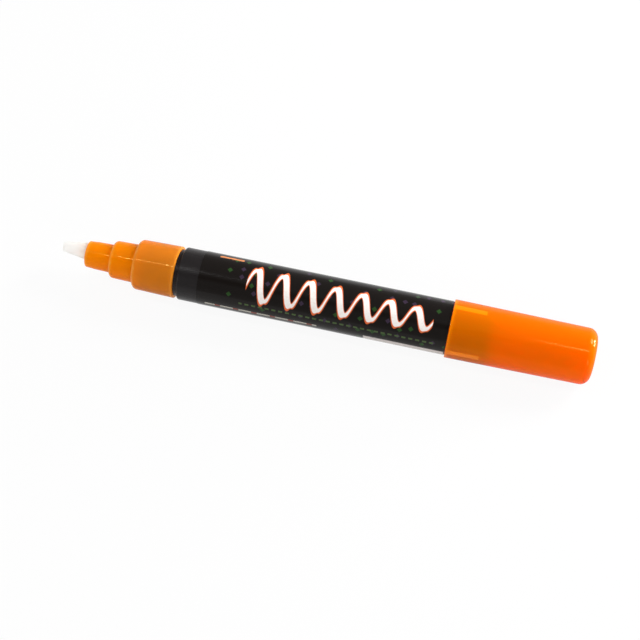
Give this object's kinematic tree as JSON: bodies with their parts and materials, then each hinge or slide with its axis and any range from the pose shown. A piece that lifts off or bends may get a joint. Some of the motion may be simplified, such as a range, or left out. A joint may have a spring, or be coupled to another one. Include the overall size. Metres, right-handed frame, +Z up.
{
  "type": "liquid chalk marker",
  "caption": "Pump-valve chalk marker with a stepped translucent nose, chisel felt nib, labelled black barrel and a ribbed cap posted on its tail.",
  "frame": {"origin": "under the middle of the marker's length, on the surface that it lies on", "axes": "+X along the axis from the nib to the cap end, +Z up, +Y across"},
  "size_m": [0.1495, 0.0162, 0.0162],
  "materials": {
    "barrel_plastic": "satin black",
    "label_film": "printed film",
    "orange_plastic": "glossy translucent",
    "liner_plastic": "smooth translucent",
    "nib_felt": "pressed fibre",
    "valve_plastic": "natural moulded",
    "seal_rubber": "soft",
    "steel": "bright"
  },
  "bodies": {
    "marker": {"barrel": "barrel_plastic", "barrel_label": "label_film", "tail_plug": "barrel_plastic", "nose_cone": "orange_plastic", "neck_gasket": "seal_rubber", "valve_housing": "valve_plastic", "valve_spring": "steel", "spring_retainer": "valve_plastic"},
    "nib_plunger": {"nib": "nib_felt", "valve_stem": "valve_plastic", "valve_seal": "seal_rubber"},
    "cap": {"cap_shell": "orange_plastic", "cap_liner": "liner_plastic"},
    "ball": {"mixing_ball": "steel"}
  },
  "joints": [
    {"name": "nib_press", "type": "slide", "parent": "marker", "child": "nib_plunger", "axis": [1, 0, 0], "range_m": [0, 0.0016], "stiffness_N_per_m": 1200, "springref_m": -0.0012, "deforming": ["valve_spring"]},
    {"name": "cap_pull", "type": "slide", "parent": "marker", "child": "cap", "axis": [1, 0, 0], "range_m": [0, 0.045]},
    {"name": "ball_roll", "type": "slide", "parent": "marker", "child": "ball", "axis": [1, 0, 0], "range_m": [0, 0.05895]}
  ]
}
